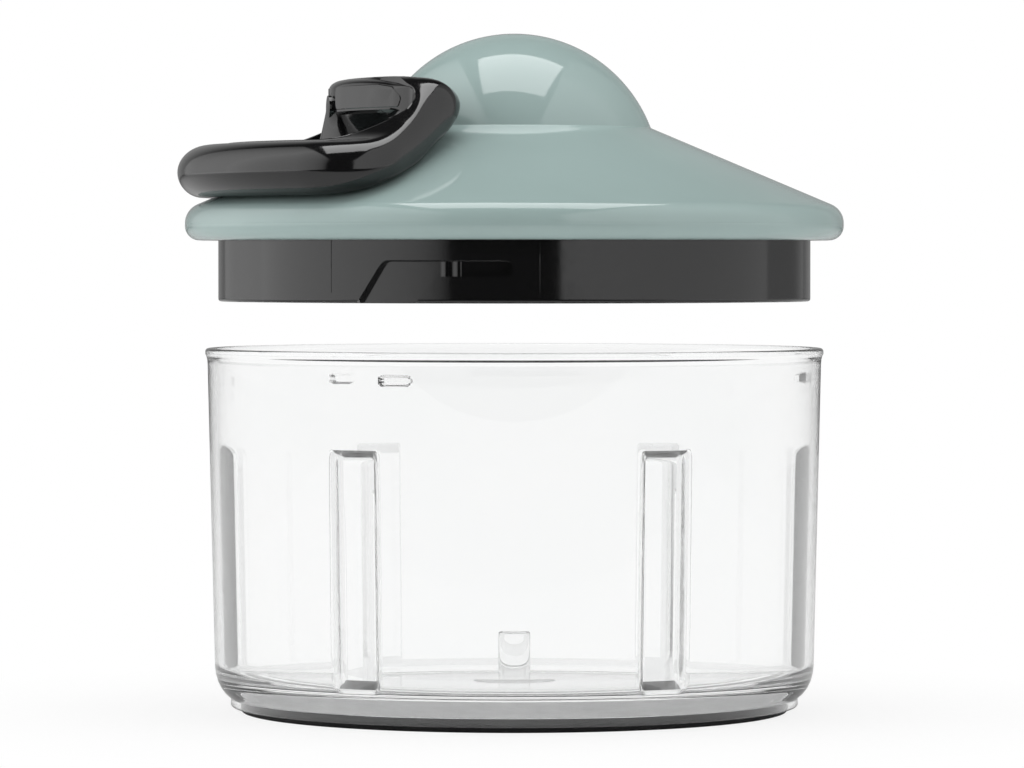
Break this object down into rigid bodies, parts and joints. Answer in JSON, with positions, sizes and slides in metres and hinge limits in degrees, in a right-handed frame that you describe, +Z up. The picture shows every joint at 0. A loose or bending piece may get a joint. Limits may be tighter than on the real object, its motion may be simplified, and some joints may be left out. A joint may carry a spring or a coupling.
{
  "type": "pull-cord food chopper",
  "caption": "Hand food chopper: clear bowl with a rubber foot ring, and a domed bayonet lid whose loop handle pulls a cord that spins the blade socket.",
  "frame": {"origin": "on the surface the bowl stands on, under the bowl's centre", "axes": "+Z up along the blade pin and the lid's axis, -Y towards the front, and the handle parked towards -X"},
  "size_m": [0.1424, 0.1408, 0.1449],
  "materials": {
    "clear_plastic": "clear, polished",
    "green_plastic": "glossy pale grey-green",
    "black_plastic": "glossy",
    "white_plastic": "matte",
    "rubber": "matte",
    "seal_rubber": "matte",
    "steel": "bright",
    "brass": "plain",
    "cord": "braided"
  },
  "bodies": {
    "bowl_body": {"bowl": "clear_plastic", "base_ring": "rubber"},
    "seal": {"lid_seal": "seal_rubber"},
    "lid": {"lid_shell": "green_plastic", "lid_collar": "black_plastic", "lid_screws": "steel", "cord_eyelet": "black_plastic", "cord_lead": "cord", "reel_axle": "steel", "spring_cup": "white_plastic", "spring_cover": "white_plastic", "cup_screws": "steel", "recoil_spring": "steel", "spindle_bushing": "brass", "spindle_seal": "seal_rubber"},
    "reel_body": {"reel": "white_plastic", "cord_winding": "cord", "pawl_carrier": "white_plastic", "pawls": "black_plastic"},
    "spindle": {"clutch_ring": "white_plastic", "drive_spindle": "white_plastic", "retaining_clip": "steel"},
    "handle": {"handle_shell": "black_plastic", "handle_insert": "black_plastic", "cord_knot": "cord", "handle_plug": "black_plastic"}
  },
  "joints": [
    {"name": "lid_lift", "type": "slide", "parent": "bowl_body", "child": "seal", "axis": [0, 0, 1], "range_m": [-0.0227, 0.12]},
    {"name": "lid_turn", "type": "hinge", "parent": "seal", "child": "lid", "pos_m": [0, 0, 0.1], "axis": [0, 0, 1], "range_deg": [-16.8, 0]},
    {"name": "handle_pull", "type": "slide", "parent": "lid", "child": "handle", "axis": [-0.9848, -0.1736, 0], "range_m": [0, 0.3]},
    {"name": "reel_spin", "type": "hinge", "parent": "lid", "child": "reel_body", "pos_m": [0, 0, 0.125], "axis": [0, 0, 1], "range_deg": [-1110, 0]},
    {"name": "drive_spin", "type": "hinge", "parent": "lid", "child": "spindle", "pos_m": [0, 0, 0.095], "axis": [0, 0, 1], "range_deg": [-1110, 0]}
  ],
  "couplings": [
    {"joint": "reel_spin", "follows": "handle_pull", "rad_per_m": -64.5},
    {"joint": "drive_spin", "follows": "handle_pull", "rad_per_m": -64.5}
  ]
}
